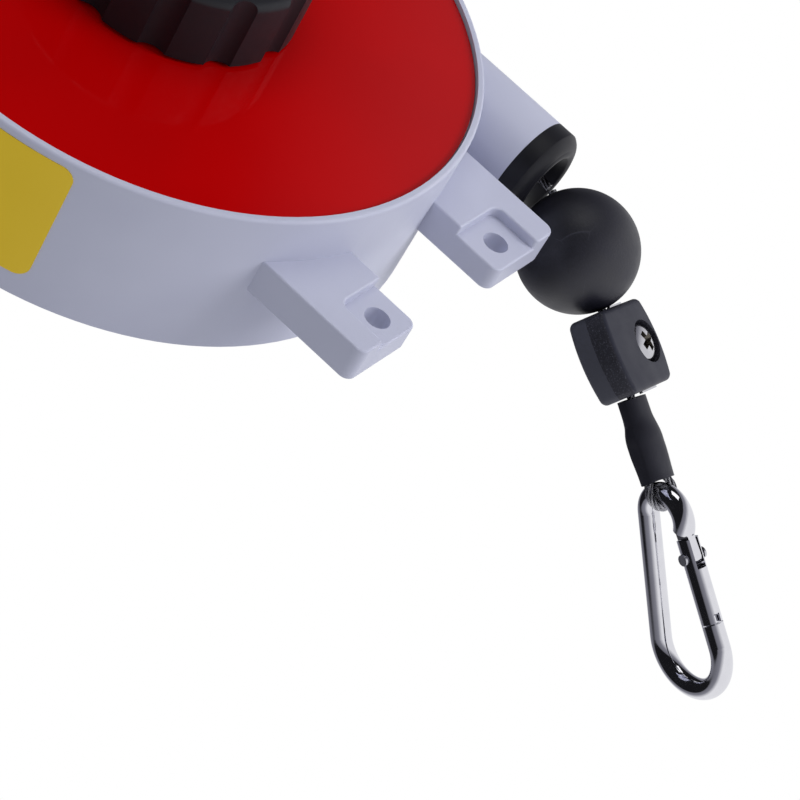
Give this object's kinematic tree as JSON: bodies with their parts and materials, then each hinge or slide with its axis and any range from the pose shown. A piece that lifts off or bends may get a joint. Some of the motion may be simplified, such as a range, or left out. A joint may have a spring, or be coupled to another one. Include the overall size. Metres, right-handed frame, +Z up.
{
  "type": "spring tool balancer",
  "caption": "Round spring balancer with a tangential rope nozzle, top safety hook, two mounting lugs, and a wire rope ending in a ball stop, clamp block and carabiner.",
  "frame": {"origin": "Hanging frame: the seat inside the top hook, where the load ring bears.", "axes": "+Z is up along the rope line, +Y runs from the face plate to the back cover along the drum axis, +X is to the right seen from the front."},
  "size_m": [0.1434, 0.103, 0.2991],
  "materials": {
    "housing_plastic": "moulded light blue-grey plastic, fine satin",
    "red_gloss": "glossy red face plate",
    "yellow_film": "yellow printed film, left bare",
    "black_plastic": "black moulded plastic",
    "clamp_plastic": "black plastic with a fine texture on the sides",
    "shrink_plastic": "matte black heat-shrink sleeve",
    "black_rubber": "matte black rubber",
    "wire_rope": "stranded steel wire rope",
    "polished_steel": "polished steel",
    "bright_steel": "bright steel",
    "zinc_steel": "zinc-plated steel",
    "spring_steel": "dark spring steel",
    "bronze": "sintered bronze",
    "drum_aluminium": "cast aluminium"
  },
  "bodies": {
    "housing_body": {"housing": "housing_plastic", "back_cover": "housing_plastic", "cover_screws": "zinc_steel", "face_plate": "red_gloss", "side_sticker": "yellow_film", "cable_guide": "black_plastic", "front_bush": "bronze", "rear_bush": "bronze", "friction_washer": "black_plastic", "hook_bush": "bronze"},
    "drum": {"cable_drum": "drum_aluminium", "drum_cover": "drum_aluminium", "drum_cover_screws": "zinc_steel", "drum_bushes": "bronze", "rope_winding": "wire_rope", "rope_nipple": "zinc_steel", "mainspring": "spring_steel"},
    "tension_setting": {"spring_arbor": "bright_steel", "arbor_clip": "spring_steel", "tension_knob": "black_plastic", "knob_screw": "zinc_steel"},
    "hook": {"top_hook": "zinc_steel", "hook_nut": "zinc_steel", "hook_nut_pin": "bright_steel", "latch_pin": "bright_steel"},
    "latch": {"hook_latch": "zinc_steel"},
    "pulled_rope": {"rope_run": "wire_rope", "rope_lead": "wire_rope"},
    "rope_end": {"rope_tail": "wire_rope", "clamp_front_half": "clamp_plastic", "clamp_rear_half": "clamp_plastic", "clamp_plate": "bright_steel", "clamp_screw": "bright_steel", "clamp_nut": "zinc_steel", "shrink_sleeve": "shrink_plastic", "ferrule": "drum_aluminium", "rope_eye": "wire_rope"},
    "ball": {"ball_stop": "black_rubber"},
    "carabiner": {"carabiner_body": "polished_steel", "gate_rivet": "bright_steel"},
    "gate": {"carabiner_gate": "polished_steel", "gate_spring": "spring_steel"}
  },
  "joints": [
    {"name": "drum_spin", "type": "hinge", "parent": "housing_body", "child": "drum", "pos_m": [-0.0535, 0, -0.11132], "axis": [0, 1, 0], "range_deg": [0, 1713.4], "stiffness_Nm_per_rad": 0.011, "springref_deg": -5557.69},
    {"name": "rope_pull", "type": "slide", "parent": "housing_body", "child": "pulled_rope", "axis": [0, 0, -1], "range_m": [0, 1.6], "deforming": ["rope_run"]},
    {"name": "rope_bend", "type": "hinge", "parent": "pulled_rope", "child": "rope_end", "pos_m": [0, 0, -0.19062], "axis": [0.9472, 0.3206, 0], "range_deg": [-26.4, 0]},
    {"name": "ball_turn", "type": "hinge", "parent": "rope_end", "child": "ball", "pos_m": [-0.00214, 0.00632, -0.20405], "axis": [-0.1426, 0.4212, -0.8957], "continuous": true},
    {"name": "carabiner_swing", "type": "hinge", "parent": "rope_end", "child": "carabiner", "pos_m": [-0.01282, 0.03212, -0.25273], "axis": [0.2861, 0.7118, 0.6414], "range_deg": [-60, 60]},
    {"name": "gate_open", "type": "hinge", "parent": "carabiner", "child": "gate", "pos_m": [-0.01571, 0.03714, -0.26706], "axis": [0.9553, -0.1601, -0.2485], "range_deg": [0, 24], "stiffness_Nm_per_rad": 0.05, "springref_deg": -34.38},
    {"name": "tension_turn", "type": "hinge", "parent": "housing_body", "child": "tension_setting", "pos_m": [-0.0535, 0, -0.11132], "axis": [0, 1, 0], "range_deg": [-720, 720]},
    {"name": "hook_swivel", "type": "hinge", "parent": "housing_body", "child": "hook", "pos_m": [0, 0, -0.03982], "axis": [0, 0, 1], "continuous": true},
    {"name": "latch_open", "type": "hinge", "parent": "hook", "child": "latch", "pos_m": [0, 0, -0.03322], "axis": [0, -1, 0], "range_deg": [0, 26], "stiffness_Nm_per_rad": 0.05, "springref_deg": -34.38}
  ],
  "couplings": [
    {"joint": "rope_pull", "follows": "drum_spin", "m_per_rad": 0.0535}
  ]
}
